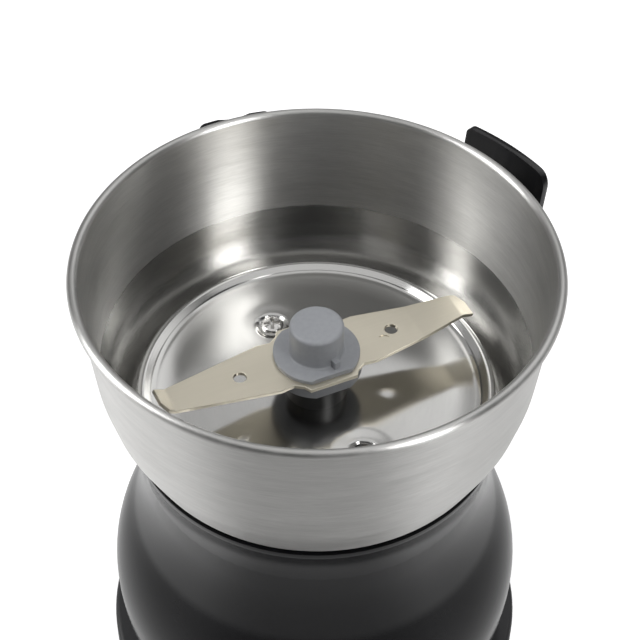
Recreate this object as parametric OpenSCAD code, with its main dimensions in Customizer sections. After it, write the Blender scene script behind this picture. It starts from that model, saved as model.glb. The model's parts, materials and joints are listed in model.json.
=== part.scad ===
// Electric spice grinder: a deep-drawn steel bowl with a two-winged blade, on a waisted
// housing that holds a universal motor. A tower beside the bowl carries the lid's
// safety pin down to a small lever switch, and a guide arm steadies the lid behind.
// Millimetres, +Z up. The blade shaft is the Z axis and the feet stand on z = 0.

/* [Bowl] */
// Outside diameter over the rolled rim
rim_d = 100; // [99:0.5:100]
// Height of the rim above the table
rim_z = 122; // [121:0.5:123]
// Thickness of the drawn steel sheet
sheet_t = 0.7; // [0.6:0.05:0.8]
// Slope of the bowl's upper wall, from upright
wall_lean = 5.5; // [5:0.1:6]
// Radius of the curve in the bowl's lower wall
wall_curve_r = 46; // [44:0.5:48]
// Height of the bowl's inner floor
floor_z = 85; // [84.8:0.1:85.2]
// Distance of the bowl screws from the axis
bowl_screw_r = 21; // [20:0.5:22]
// Direction of the first bowl screw
bowl_screw_az = 76; // [60:1:90]

/* [Blade] */
// Span of the blade, tip to tip
blade_span = 73; // [68:0.5:74]
// Width of each wing at its root
blade_root_w = 14; // [12:0.5:15]
// Width of each wing where its tip is bent
blade_tip_w = 6.6; // [5:0.2:8]
// Thickness of the blade steel
blade_t = 0.9; // [0.8:0.1:1]
// Height of the blade's upper face
blade_z = 95.7; // [95.5:0.1:96]
// Direction of the blade at rest
blade_az = -18; // [-30:1:0]
// Lift of the raised wing
lift = 5.5; // [3:0.5:8]
// Angle of the tip that is turned up
tip_up = 33; // [20:1:40]
// Angle of the tip that is turned down
tip_down = 24; // [15:1:35]

/* [Housing] */
// Diameter of the neck under the bowl
neck_d = 77.2; // [77:0.1:77.4]
// Widest diameter of the barrel
barrel_d = 94.5; // [94.2:0.1:94.8]
// Height of the barrel's widest line
barrel_z = 28.5; // [28.2:0.1:28.8]
// Steepest slope of the flare from the neck to the barrel, from upright
flare_a = 27; // [26:0.5:28]
// Wall thickness of the housing
wall_t = 2.1; // [2:0.1:2.2]
// Outside diameter of the base ring
base_d = 98.5; // [98:0.1:99]

/* [Switch tower] */
// Radius of the tower's outer face at its top
tower_r = 57.7; // [57.5:0.1:57.9]
// Height of the tower's top
tower_z = 120; // [118.5:0.5:120.5]
// Lean of the tower, from upright
tower_lean = 6.5; // [6.4:0.1:6.6]
// Width of the tower at its top
tower_w = 23.2; // [22:0.2:24]
// Travel of the safety pin
pin_travel = 1.9; // [1.5:0.1:1.9]

/* [Motor] */
// Length of the stator stack
stack_l = 22; // [21:0.5:22]
// Height of the stator stack's lower face
stack_z = 40; // [40:0.2:40.6]
// Radius of the armature
armature_r = 15; // [14.5:0.1:15.1]
// Number of armature slots
slot_n = 12; // [8:1:12]
// Radius of the commutator
commutator_r = 9; // [8.6:0.1:9]
// Radius of the motor shaft
shaft_r = 3; // [2.9:0.05:3]
// Number of fan blades
fan_blades = 11; // [7:1:13]
// Radius of the cooling fan
fan_r = 24; // [22:0.5:25]

/* [Hidden] */
$fn = 96;

// Fits and gaps
fit = 0.1;
run_fit = 0.03;
tiny = 0.01;

// Bowl: the path of the sheet's middle, worked out from the outside in
half_t = sheet_t / 2;
curl_r = 1.1 - half_t;
curl_c = [rim_d / 2 - 1.1, rim_z - 1.1];
groove_r = 1;
groove_a = -30;
groove_c = [39.35, rim_z - 42 + half_t + groove_r];
bead_r = 0.9;
bead_c = [groove_c[0] - groove_r - bead_r, floor_z + 1.3 - half_t - bead_r];
floor_mid = floor_z - half_t;
bowl_hole_r = 5.8;
dimple_r = 4.7;
dimple_z = 0.9;

// Housing
neck_r = neck_d / 2;
neck_top_r = neck_r - 0.3;
barrel_lower_r = 60;
barrel_upper_r = 40;
barrel_lower_c = [barrel_d / 2 - barrel_lower_r, barrel_z];
barrel_upper_c = [barrel_d / 2 - barrel_upper_r, barrel_z];
hollow_r = (barrel_upper_c[0] + barrel_upper_r * cos(flare_a) - neck_r) / (1 - cos(flare_a));
hollow_c = barrel_upper_c + (barrel_upper_r + hollow_r) * [cos(flare_a), sin(flare_a)];
housing_z0 = 5.8;
neck_z = rim_z - 42.6;
deck_z = floor_z - 2.1;
deck_t = 2.4;
deck_r = 37.2;
deck_hole_r = 8.2;
cover_post_r = 35.2;
cover_post_az = [30, 150, 270];
switch_hole_y = 4.75;
switch_hole_z = 58.9;
tower_screw_y = 10;
tower_screw_z = 74.5;
arm_screw_z = 70;

// Bottom cover, feet and cord inlet
cover_z = 1.6;
cover_t = 2.4;
ring_z = 9;
seat_gap = 0.25;
foot_at = 44;
foot_r = 4;
foot_az = [45, 135, 225, 315];
gland_z = 12.4;
gland_foot_z = 7.1;
gland_bore_r = 3.1;
gland_half = 5;
clamp_x = 35.4;
clamp_y = 7;
clamp_z = 11;

// Tower and arm
tower_wall = 1.5;
pocket_z = rim_z - 20;
roof_z = rim_z - 42.6;
roof_t = 1.2;
column_d = 8.5;
column_inner_t = 1;
tower_foot_r = 80;
tower_foot_z = 40.5;
tower_bend_z = 58;
tower_base_w = 30;
guide_z = 70.6;
guide_t = 1.2;
pin_r = 1.4;
pin_in = 6.1;
pin_tip_z = 69.4;
pin_head_z = rim_z - 15.4;
pin_head = [4.6, 10, 2];
collar_z = 76.8;
collar_t = 1;
arm_az = 67.1;
arm_z = 115.9;
arm_w = 16.8;

// Switch
switch_x = 41.2;
switch_size = [6.4, 19.8, 10];
switch_z = 56;
lever_pivot = [44.5, -8.9, 67];
lever_rest = 13;
lever_w = 5;
lever_l = 17.4;
lever_t = 0.4;
eye_r = 0.9;
pivot_pin_r = 0.45;
plunger_r = 1.1;
plunger_y = -3.2;
plunger_z = [63.4, 67.8];

// Motor
motor_turn = bowl_screw_az - 90;
stack_top = stack_z + stack_l;
stator_size = [60, 50];
stator_corner_r = 33;
yoke_inner = [49, 38];
pole_w = 17;
shoe_t = 2.5;
shoe_a = 62;
air_gap = 0.5;
coil_x = [18, 24.2];
coil_w = 7;
motor_screw_y = 22.3;
bracket_w = 14;
leg_y = [18.6, 26.2];
bush_r = 5.5;
bush_h = 7;
upper_boss_z = 69.8;
bracket_top = 77.6;
lower_boss_z = 12.2;
plate_z = 19;
plate_t = 3.3;
brush_z = 27.3;
brush_size = [10.4, 5.8, 6.2];
box_wall = 0.8;
box_end = 24.7;
winding_r = 13.6;
commutator_z = [22.7, 33.6];
fan_z = 6.4;
carrier_z = 92;
hub_r = 5.75;
hub_z = rim_z - 17.7;
flange_r = 9.2;
flange_z = blade_z + 1.2;
stud_r = 2.4;
tip_l = 3.4;
fold_u = 23;

// Points along an arc about c, from angle a0 to a1
function arc(c, r, a0, a1, n = 8) =
    [for (i = [0:n]) let (a = a0 + (a1 - a0) * i / n) c + r * [cos(a), sin(a)]];
function reversed(p) = [for (i = [len(p) - 1:-1:0]) p[i]];
// Direction of a path at its point i, and the same path moved sideways by d
function heading(p, i) =
    let (v = p[min(i + 1, len(p) - 1)] - p[max(i - 1, 0)]) v / norm(v);
function beside(p, d) =
    [for (i = [0:len(p) - 1]) let (h = heading(p, i)) p[i] + d * [-h[1], h[0]]];
// Radius of the leaning outer face of the tower and arm at height z
function lean_r(z) = tower_r - tan(tower_lean) * (tower_z - z);

// A wall of even thickness along a path
module wall(path, t) {
    polygon(concat(beside(path, t / 2), reversed(beside(path, -t / 2))));
}

module revolve(angle = 360) {
    rotate_extrude(angle = angle, start = -angle / 2) children();
}

module tube(r, bore, h) {
    difference() {
        cylinder(r = r, h = h);
        translate([0, 0, -1]) cylinder(r = bore, h = h + 2);
    }
}

module at_angles(angles, r) {
    for (a = angles) rotate(a) translate([r, 0, 0]) rotate(-a) children();
}

// Carries a flat outline drawn in y and z, extruded along +X
module along_x(h) {
    rotate([90, 0, 90]) linear_extrude(h) children();
}

module round_rect(size, r) {
    square([size[0] - 2 * r, size[1]], center = true);
    square([size[0], size[1] - 2 * r], center = true);
    for (x = [-1, 1], y = [-1, 1])
        translate([x * (size[0] / 2 - r), y * (size[1] / 2 - r)]) circle(r);
}

// Cross-recessed pan-head screw, its head's seat at z = 0 and its point down
module screw(r, l, head_r, head_h) {
    difference() {
        union() {
            translate([0, 0, -l]) cylinder(r = r, h = l);
            cylinder(r = head_r, h = head_h * 0.55);
            translate([0, 0, head_h * 0.55])
                cylinder(r1 = head_r, r2 = head_r * 0.62, h = head_h * 0.45);
        }
        for (a = [0, 90]) rotate(a)
            translate([-head_r * 0.55, -head_r * 0.14, head_h * 0.35])
                cube([head_r * 1.1, head_r * 0.28, head_h]);
    }
}

// ---- Bowl -------------------------------------------------------------------------

// Middle of the sheet, from the centre hole out over the bead, down the groove,
// up the wall and round the rolled rim
function bowl_path() =
    let (groove_end = groove_c + groove_r * [cos(groove_a), sin(groove_a)],
        wall_c = groove_end - wall_curve_r * [cos(groove_a), sin(groove_a)],
        wall_end = wall_c + wall_curve_r * [cos(wall_lean), -sin(wall_lean)])
    concat([[bowl_hole_r, floor_mid], [30, floor_mid]],
        arc([bead_c[0] - 2.6, floor_mid + 0.9], 0.9, -90, -38, 3),
        arc(bead_c, bead_r, 128, 0, 8),
        arc(groove_c, groove_r, 180, 360 + groove_a, 8),
        arc(wall_c, wall_curve_r, groove_a + 2, -wall_lean, 10),
        [[curl_c[0] - curl_r - 0.05, curl_c[1] - 1]],
        arc(curl_c, curl_r, 180, -70, 14));

module bowl() {
    screw_az = [bowl_screw_az, bowl_screw_az + 180];
    color("silver") {
        difference() {
            revolve() wall(bowl_path(), sheet_t);
            at_angles(screw_az, bowl_screw_r) translate([0, 0, floor_z - 5])
                cylinder(r = dimple_r - 0.3, h = 10);
        }
        at_angles(screw_az, bowl_screw_r) revolve() wall([[1.8, floor_mid - dimple_z],
            [dimple_r - 1.5, floor_mid - dimple_z], [dimple_r - 0.5, floor_mid],
            [dimple_r, floor_mid]], sheet_t);
    }
}

module bowl_screws() {
    color("lightgray") at_angles([bowl_screw_az, bowl_screw_az + 180], bowl_screw_r)
        translate([0, 0, floor_z - dimple_z + 0.05]) rotate(20) screw(1.45, 12, 2.65, 1.9);
}

module bowl_gasket() {
    color("dimgray") translate([0, 0, deck_z]) tube(34.2, 28, floor_z - sheet_t - deck_z);
}

// Black seal that lines the floor's centre hole and wipes the shaft
module shaft_seal() {
    color("black") revolve() polygon(concat(
        [[shaft_r + run_fit, deck_z - 2], [deck_hole_r - 0.3, deck_z - 2],
            [deck_hole_r - 0.3, floor_z - sheet_t], [bowl_hole_r - 0.1, floor_z - sheet_t],
            [bowl_hole_r - 0.1, floor_z], [6.7, floor_z], [6.6, floor_z + 5]],
        arc([5.8, floor_z + 5.2], 0.8, 0, 90, 4), [[4.2, floor_z + 6],
            [4.2, floor_z + 4.8], [shaft_r + run_fit, floor_z + 4]]));
}

// ---- Housing ----------------------------------------------------------------------

// Outer radius of the barrel's lower half
function barrel_at(z) =
    barrel_lower_c[0] + sqrt(pow(barrel_lower_r, 2) - pow(barrel_z - z, 2));

// Outer face of the barrel and flare up to the neck, moved inward by t
function body_face(t) =
    concat(arc(barrel_lower_c, barrel_lower_r - t,
            asin((housing_z0 - barrel_z) / barrel_lower_r), 0, 8),
        flare_face(t, 2));

// The barrel's upper half from an angle up, and the hollow curve that leads it into the neck
function flare_face(t, start) =
    concat(arc(barrel_upper_c, barrel_upper_r - t, start, flare_a, 10),
        arc(hollow_c, hollow_r + t, 177 + flare_a, 180, 9));

module housing_shell() {
    inner_neck_r = neck_top_r - wall_t + 0.2;
    revolve() polygon(concat(body_face(0),
        [[neck_top_r, neck_z], [deck_r, neck_z],
            [deck_r, deck_z - 0.5], [deck_r - 0.5, deck_z], [deck_hole_r, deck_z],
            [deck_hole_r, deck_z - deck_t], [inner_neck_r, deck_z - deck_t]],
        reversed(body_face(wall_t))));
}

module housing() {
    color([0.05, 0.05, 0.06]) difference() {
        union() {
            housing_shell();
            // posts for the cover screws, each tied to the wall by a web
            at_angles(cover_post_az, cover_post_r) translate([0, 0, housing_z0 + 0.3])
                cylinder(r = 3.4, h = 22);
            intersection() {
                for (a = cover_post_az) rotate(a) translate([cover_post_r + 2, -1, housing_z0 + 4])
                    cube([20, 2, 17]);
                revolve() polygon(concat([[0, housing_z0]], body_face(0.5), [[0, hollow_c[1]]]));
            }
            // posts that the switch slips on, and pads for the tower and arm screws
            for (y = [-1, 1]) translate([0, y * switch_hole_y, switch_hole_z])
                rotate([0, 90, 0]) translate([0, 0, neck_r - 2]) {
                    cylinder(r = 2.6, h = switch_x - neck_r + 2 - fit);
                    cylinder(r = 1.15, h = 8.2);
                }
            intersection() {
                union() {
                    for (y = [-1, 1]) screw_pad(0, y * tower_screw_y, tower_screw_z);
                    screw_pad(arm_az, 0, arm_screw_z);
                }
                cylinder(r = neck_top_r - 0.5, h = 100);
            }
            // seats under the bowl's dimpled screw holes
            at_angles([bowl_screw_az, bowl_screw_az + 180], bowl_screw_r)
                translate([0, 0, deck_z - 0.5])
                    cylinder(r = 3.4, h = floor_mid - dimple_z - half_t - deck_z + 0.5);
        }
        at_angles([bowl_screw_az, bowl_screw_az + 180], bowl_screw_r)
            translate([0, 0, deck_z - 5]) cylinder(r = 1.8, h = 10);
        at_angles(cover_post_az, cover_post_r) translate([0, 0, housing_z0 - 1])
            cylinder(r = 1.2, h = 16);
        for (y = [-1, 1]) across_wall(0, y * tower_screw_y, tower_screw_z);
        across_wall(arm_az, 0, arm_screw_z);
        // way for the switch leads, and the cord gland's notch
        translate([neck_r - 6, -4, switch_z - 5.5]) cube([10, 8, 5]);
        translate([neck_r, 0, 0]) along_x(12)
            gland_outline(gland_half + 0.05, gland_z + gland_half + 0.05, housing_z0 - 1);
    }
}

// Pad inside the neck that squares up a screw's seat
module screw_pad(az, y, z) {
    rotate(az) translate([neck_r - 4.7, y, z]) rotate([0, 90, 0]) cylinder(r = 3.2, h = 4.4);
}

module across_wall(az, y, z) {
    rotate(az) translate([neck_r - 8, y, z]) rotate([0, 90, 0]) cylinder(r = 1.5, h = 12);
}

// Straight-sided outline with two sloping top corners
module gland_outline(half, top, bottom) {
    polygon([[-half, bottom], [half, bottom], [half, top - half * 0.6],
        [half * 0.4, top], [-half * 0.4, top], [-half, top - half * 0.6]]);
}

// ---- Tower and guide arm ----------------------------------------------------------

// Outer line of the tower and arm from a height down to their foot, moved inward by t
function tower_face(top, t) =
    let (c = [lean_r(tower_bend_z), tower_bend_z]
            - tower_foot_r * [cos(tower_lean), -sin(tower_lean)],
        foot_a = asin((tower_foot_z - c[1]) / tower_foot_r))
    concat([[lean_r(top) - t, top]], arc(c, tower_foot_r - t, -tower_lean, foot_a, 6));

// Profile that closes on the neck below the bowl and stands as a plate above it
module tower_profile(top, plate_t, floor_z_at, depth) {
    polygon(concat(tower_face(top, 0),
        flare_face(-fit, asin((tower_foot_z - barrel_z) / (barrel_upper_r + fit))),
        [[neck_r + fit, roof_z], [lean_r(roof_z) - depth, roof_z], [lean_r(floor_z_at) - depth, floor_z_at],
            [lean_r(floor_z_at) - plate_t, floor_z_at], [lean_r(top) - plate_t, top]]));
}

// Front outline of the tower, w wide at the top, with one round and one tight corner
module tower_outline(w, base_w, top, r_left, r_right, inset = 0) {
    h = w / 2 - inset;
    b = base_w / 2 - inset;
    polygon(concat([[-b, 36], [b, 36], [b, 68], [h, 84]],
        arc([h - r_right, top - inset - r_right], r_right, 0, 90, 5),
        arc([-h + r_left, top - inset - r_left], r_left, 90, 180, 6), [[-h, 84], [-b, 68]]));
}

module switch_tower() {
    color([0.06, 0.06, 0.07]) difference() {
        union() {
            difference() {
                intersection() {
                    revolve(60) tower_profile(tower_z, tower_wall, pocket_z, column_d);
                    translate([30, 0, 0]) along_x(40)
                        tower_outline(tower_w, tower_base_w, tower_z, 3, 1.2);
                }
                tower_cavity();
            }
            // shelf that guides the pin's foot, and bosses for the two screws
            intersection() {
                translate([pin_x(guide_z) - 3, -3.2, guide_z]) cube([9, 6.4, guide_t]);
                revolve(60) polygon([[30, guide_z], [lean_r(guide_z) - 0.5, guide_z],
                    [lean_r(guide_z) - 0.5, guide_z + guide_t], [30, guide_z + guide_t]]);
            }
            for (y = [-1, 1]) screw_boss(y * tower_screw_y, tower_screw_z, tower_screw_y, 8);
            // moulded rib that keys the lid's tongue
            rotate(-8.6) translate([lean_r(112) - tower_wall - 0.9, -0.5, pocket_z])
                rotate([0, tower_lean, 0]) cube([1.2, 1, 7]);
        }
        along_pin(guide_z - 1, pocket_z + 2) cylinder(r = pin_r + 0.15, h = 60);
        for (y = [-1, 1]) translate([neck_r - 4, y * tower_screw_y, tower_screw_z])
            rotate([0, 90, 0]) cylinder(r = 1, h = 9.5);
    }
}

// Room inside the tower: wide and open to the neck below, a narrow shaft above
module tower_cavity() {
    intersection() {
        union() {
            revolve(60) polygon(concat(tower_face(roof_z - roof_t, tower_wall),
                [[neck_r - 2, tower_foot_z - 0.6], [neck_r - 2, roof_z - roof_t]]));
            revolve(60) polygon([[lean_r(roof_z) - tower_wall, roof_z],
                [lean_r(pocket_z - 1.5) - tower_wall, pocket_z - 1.5],
                [lean_r(pocket_z - 1.5) - column_d + column_inner_t, pocket_z - 1.5],
                [lean_r(roof_z) - column_d + column_inner_t, roof_z]]);
        }
        translate([30, 0, 0]) along_x(40)
            tower_outline(tower_w, tower_base_w, tower_z, 1, 1, tower_wall);
    }
}

// Boss along X for a screw that comes through the neck, cut to the neck's round
module screw_boss(y, z, at, l) {
    difference() {
        translate([neck_r - 3, y, z]) rotate([0, 90, 0]) cylinder(r = 2.7, h = l + at / 10);
        cylinder(r = neck_r + fit, h = 100);
    }
}

module tower_screws() {
    color("lightgray") for (y = [-1, 1])
        translate([neck_r - 4.75, y * tower_screw_y, tower_screw_z])
            rotate([0, -90, 0]) screw(0.95, 9.5, 2.4, 1.6);
}

module lid_guide_arm() {
    color([0.06, 0.06, 0.07]) rotate(arm_az) difference() {
        union() {
            difference() {
                intersection() {
                    revolve(50) tower_profile(arm_z, 2, roof_z, 8);
                    translate([30, 0, 0]) along_x(40)
                        tower_outline(arm_w, arm_w + 4, arm_z, 1.5, 1.5);
                }
                intersection() {
                    revolve(50) polygon(concat(tower_face(roof_z - roof_t, 2),
                        [[neck_r - 2, tower_foot_z - 0.6], [neck_r - 2, roof_z - roof_t]]));
                    translate([30, 0, 0]) along_x(40)
                        tower_outline(arm_w, arm_w + 4, arm_z, 1, 1, 2);
                }
            }
            screw_boss(0, arm_screw_z, 0, 12);
            // web that carries the boss up to the roof
            difference() {
                translate([neck_r - 1, -1, arm_screw_z]) cube([8, 2, roof_z - arm_screw_z - 0.5]);
                cylinder(r = neck_r + fit, h = 100);
            }
        }
        translate([neck_r - 4, 0, arm_screw_z]) rotate([0, 90, 0]) cylinder(r = 1, h = 9.5);
        // shallow dip in the top edge between the two guiding horns
        translate([50, 0, arm_z + 10.9]) rotate([0, 90, 0]) cylinder(r = 11.5, h = 10);
    }
}

module guide_arm_screw() {
    color("lightgray") rotate(arm_az) translate([neck_r - 4.75, 0, arm_screw_z])
        rotate([0, -90, 0]) screw(0.95, 9.5, 2.4, 1.6);
}

// ---- Base -------------------------------------------------------------------------

module bottom_cover() {
    base_r = base_d / 2;
    seat_r = barrel_at(housing_z0) + seat_gap;
    seat_top_r = barrel_at(ring_z) + seat_gap;
    color([0.08, 0.08, 0.09]) difference() {
        union() {
            revolve() polygon(concat([[0, cover_z]],
                arc([base_r - 1.8, cover_z + 1.8], 1.8, -90, 0, 5),
                arc([base_r - 1.2, ring_z - 1.2], 1.2, 0, 90, 5),
                [[seat_top_r, ring_z], [seat_r, housing_z0 - fit], [40.4, housing_z0 - fit],
                    [40.4, 8.5], [39, 8.5], [39, cover_z + cover_t], [0, cover_z + cover_t]]));
            at_angles(cover_post_az, cover_post_r) translate([0, 0, cover_z])
                cylinder(r = 3.6, h = housing_z0 + 0.2 - cover_z);
            for (y = [-1, 1]) translate([clamp_x, y * clamp_y, cover_z])
                cylinder(r = 2.6, h = clamp_z - cover_z);
        }
        // hollow under the ring, crossed by ribs and by the feet's bosses
        difference() {
            revolve() polygon([[41, cover_z - 1], [base_r - 2, cover_z - 1],
                [base_r - 2, ring_z - 1.9], [seat_top_r + 1.2, ring_z - 1.9],
                [seat_r + 1.2, housing_z0 - 1.6], [41, housing_z0 - 1.6]]);
            for (a = [0:15:345]) rotate(a) translate([40, -0.6, 0]) cube([10, 1.2, 10]);
            translate([40, -gland_half - 2, 0]) cube([10, 2 * gland_half + 4, 10]);
            at_angles(foot_az, foot_at) cylinder(r = foot_r + 1.2, h = 10);
        }
        at_angles(foot_az, foot_at) {
            cylinder(r = foot_r + fit, h = cover_z + 0.8);
            cylinder(r = 1.6, h = cover_z + 3.4);
        }
        at_angles(cover_post_az, cover_post_r) {
            cylinder(r = 2.9, h = cover_z + 2.4);
            cylinder(r = 1.7, h = 20);
        }
        for (y = [-1, 1]) translate([clamp_x, y * clamp_y, cover_z + 3]) cylinder(r = 1, h = 20);
        // air slots under the fan
        for (ring = [[13, 16], [19, 22], [25, 28]], a = [0:60:300])
            rotate(a + ring[0] * 2) rotate_extrude(angle = 44) translate([ring[0], cover_z - 1])
                square([ring[1] - ring[0], cover_t + 2]);
        // room for the gland, inside and through the ring
        translate([38, -gland_half - 2, housing_z0 - fit]) cube([5.6, 2 * gland_half + 4, 10]);
        translate([38, 0, 0]) along_x(20)
            gland_outline(gland_half + fit, gland_z + gland_half, gland_foot_z - fit);
    }
}

module cover_screws() {
    color("lightgray") at_angles(cover_post_az, cover_post_r)
        translate([0, 0, cover_z + 2.35]) mirror([0, 0, 1]) screw(1.15, 14, 2.6, 1.7);
}

module feet() {
    color([0.12, 0.12, 0.12]) at_angles(foot_az, foot_at) {
        revolve() polygon(concat([[0, 0]], arc([foot_r - 0.7, 0.7], 0.7, -90, 0, 4),
            [[foot_r, cover_z + 0.75], [1.5, cover_z + 0.75], [1.5, cover_z + 3],
                [0, cover_z + 3]]));
    }
}

// Moulded inlet that sits in the notch of the housing's lower edge
module cord_gland() {
    color([0.07, 0.07, 0.07]) difference() {
        union() {
            translate([39.2, 0, 0]) along_x(8)
                gland_outline(gland_half, gland_z + gland_half, gland_foot_z);
            translate([38.6, 0, 0]) along_x(1.6)
                gland_outline(gland_half + 1.6, gland_z + gland_half + 1.6, gland_foot_z);
            translate([46, 0, gland_z]) rotate([0, 90, 0])
                cylinder(r1 = gland_half, r2 = gland_half - 0.6, h = 3);
        }
        translate([35, 0, gland_z]) rotate([0, 90, 0]) cylinder(r = gland_bore_r, h = 20);
    }
}

// Saddle that would grip the cord behind the gland
module cord_clamp() {
    color([0.6, 0.6, 0.58]) translate([clamp_x, 0, clamp_z]) difference() {
        union() {
            translate([-2.6, -clamp_y - 2.8, 0.05]) cube([5.2, 2 * clamp_y + 5.6, 1.8]);
            translate([-2.6, 0, 1.2]) rotate([0, 90, 0]) cylinder(r = 4, h = 5.2);
        }
        translate([-4, -10, -10]) cube([8, 20, 10.05]);
        translate([-4, 0, 0.6]) rotate([0, 90, 0]) cylinder(r = 2.8, h = 8);
        for (y = [-1, 1]) translate([0, y * clamp_y, -1]) cylinder(r = 1.4, h = 5);
    }
}

module clamp_screws() {
    color("lightgray") for (y = [-1, 1])
        translate([clamp_x, y * clamp_y, clamp_z + 1.9]) screw(0.95, 7, 2.2, 1.5);
}

// ---- Motor ------------------------------------------------------------------------

module motor_frame() {
    rotate(motor_turn) children();
}

// Lamination: a rounded yoke with two salient poles that hug the armature
module lamination() {
    bore = armature_r + air_gap;
    difference() {
        intersection() {
            square(stator_size, center = true);
            circle(stator_corner_r);
        }
        difference() {
            round_rect(yoke_inner, 4);
            for (s = [-1, 1]) translate([s * (bore + 8), 0]) square([16, pole_w], center = true);
            intersection() {
                circle(bore + shoe_t);
                for (s = [-1, 1]) polygon([[0, 0], s * 40 * [cos(shoe_a), sin(shoe_a)],
                    [s * 40, 0], s * 40 * [cos(shoe_a), -sin(shoe_a)]]);
            }
        }
        circle(bore);
        for (s = [-1, 1]) translate([0, s * motor_screw_y]) circle(1.7);
    }
}

module stator_stack() {
    color([0.45, 0.46, 0.48]) motor_frame() translate([0, 0, stack_z])
        linear_extrude(stack_l) lamination();
}

module field_coils() {
    inner = [pole_w + 0.6, stack_l + 0.6];
    color([0.72, 0.4, 0.2]) motor_frame() for (s = [0, 180]) rotate(s)
        translate([coil_x[0], 0, stack_z + stack_l / 2]) along_x(coil_x[1] - coil_x[0])
            difference() {
                round_rect(inner + 2 * [coil_w, coil_w * 0.8], 5);
                round_rect(inner, 1);
            }
}

module upper_bracket() {
    color([0.75, 0.76, 0.78]) motor_frame() difference() {
        union() {
            translate([0, 0, upper_boss_z]) cylinder(r = 9, h = bracket_top - upper_boss_z);
            bridge(bracket_top - 4.6, 4.6);
            legs(stack_top, bracket_top - stack_top);
            for (s = [-1, 1], x = [-1, 1]) translate([x * 5.5 - 1, s > 0 ? 8 : -20, bracket_top - 7])
                cube([2, 12, 5]);
        }
        bush_pocket(bracket_top - 4);
        translate([0, 0, 60]) cylinder(r = shaft_r + 1, h = 20);
        for (s = [-1, 1]) {
            translate([0, s * bowl_screw_r, bracket_top - 6]) cylinder(r = 1.5, h = 10);
            translate([0, s * motor_screw_y, stack_top - 1]) cylinder(r = 1.25, h = 8);
        }
    }
}

// Bar across the motor and the two legs under or over its ends
module bridge(z, t) {
    translate([-bracket_w / 2, -leg_y[1], z]) cube([bracket_w, 2 * leg_y[1], t]);
}

module legs(z, h) {
    for (s = [0, 180]) rotate(s) translate([-bracket_w / 2, leg_y[0], z])
        cube([bracket_w, leg_y[1] - leg_y[0], h]);
}

// Seat for a self-aligning bush whose middle is at height z
module bush_pocket(z) {
    translate([0, 0, z - bush_h / 2 - fit]) cylinder(r = bush_r + fit, h = bush_h + 2 * fit);
}

// Barrel-shaped sintered bush with its middle at height z
module bush(z) {
    translate([0, 0, z]) difference() {
        intersection() {
            sphere(r = bush_r);
            cylinder(r = bush_r, h = bush_h, center = true);
        }
        cylinder(r = shaft_r + run_fit, h = bush_h + 2, center = true);
    }
}

module upper_bush() {
    color([0.7, 0.55, 0.3]) bush(bracket_top - 4);
}

module lower_bush() {
    color([0.7, 0.55, 0.3]) bush(lower_boss_z + 4);
}

module motor_cushions() {
    color([0.15, 0.15, 0.15]) at_angles([bowl_screw_az, bowl_screw_az + 180], bowl_screw_r)
        translate([0, 0, bracket_top]) tube(4.6, 1.7, deck_z - deck_t - bracket_top);
}

module lower_bracket() {
    color([0.16, 0.15, 0.14]) motor_frame() difference() {
        union() {
            translate([0, 0, lower_boss_z]) cylinder(r = 8.4, h = plate_z + plate_t - lower_boss_z);
            bridge(plate_z, plate_t);
            translate([-26, -7.5, plate_z]) cube([52, 15, plate_t]);
            legs(plate_z, stack_z - plate_z);
            for (a = [0:90:270]) rotate(a) translate([7, -1, plate_z - 4]) cube([10, 2, 5]);
        }
        bush_pocket(lower_boss_z + 4);
        cylinder(r = shaft_r + 1, h = 19);
        cylinder(r = shaft_r + 2, h = 30);
        for (s = [-1, 1]) translate([0, s * motor_screw_y, plate_z - 1]) {
            cylinder(r = 1.7, h = 30);
            cylinder(r = 2.8, h = 8);
        }
    }
}

module motor_screws() {
    color("lightgray") motor_frame() for (s = [-1, 1])
        translate([0, s * motor_screw_y, plate_z + 7]) mirror([0, 0, 1])
            screw(1.2, stack_top - plate_z - 1.5, 2.6, 1.9);
}

// ---- Brush gear -------------------------------------------------------------------

module brush_holders() {
    box = [box_end - commutator_r - 1.6, brush_size[1] + 0.2 + 2 * box_wall,
        brush_size[2] + 0.2 + 2 * box_wall];
    color([0.8, 0.65, 0.3]) motor_frame() for (s = [0, 180]) rotate(s) difference() {
        union() {
            translate([box_end - box[0], -box[1] / 2, brush_z - box[2] / 2]) cube(box);
            translate([13, -7, plate_z + plate_t]) cube([9, 14, 0.9]);
        }
        translate([0, -box[1] / 2 + box_wall, brush_z - box[2] / 2 + box_wall])
            cube([box_end - 1, box[1] - 2 * box_wall, box[2] - 2 * box_wall]);
        translate([15, -4.5, brush_z - 1]) cube([6, 9, 2]);
    }
}

module carbon_brush() {
    difference() {
        translate([0, -brush_size[1] / 2, brush_z - brush_size[2] / 2])
            cube([commutator_r + brush_size[0], brush_size[1], brush_size[2]]);
        cylinder(r = commutator_r + 0.06, h = 60);
    }
}

// Closed and ground coil spring of stacked rings, along +X from x0 to x1
module ring_spring(x0, x1, r, wire_r, turns) {
    pitch = (x1 - x0 - 2 * wire_r) / (turns - 1);
    for (i = [0:turns - 1]) translate([x0 + wire_r + i * pitch, 0, 0])
        rotate([0, 90, 0]) rotate_extrude($fn = 32) translate([r, 0]) circle(wire_r, $fn = 16);
    for (s = [-1, 1]) translate([x0 + wire_r, s * r, 0]) rotate([0, 90, 0])
        cylinder(r = wire_r * 0.7, h = x1 - x0 - 2 * wire_r, $fn = 16);
}

module brush_spring() {
    translate([0, 0, brush_z])
        ring_spring(commutator_r + brush_size[0] + 0.05, box_end - 1.05, 2, 0.25, 5);
}

module brush_left() {
    color([0.2, 0.2, 0.2]) motor_frame() carbon_brush();
}

module brush_right() {
    color([0.2, 0.2, 0.2]) motor_frame() rotate(180) carbon_brush();
}

module brush_spring_left() {
    color("silver") motor_frame() brush_spring();
}

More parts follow.
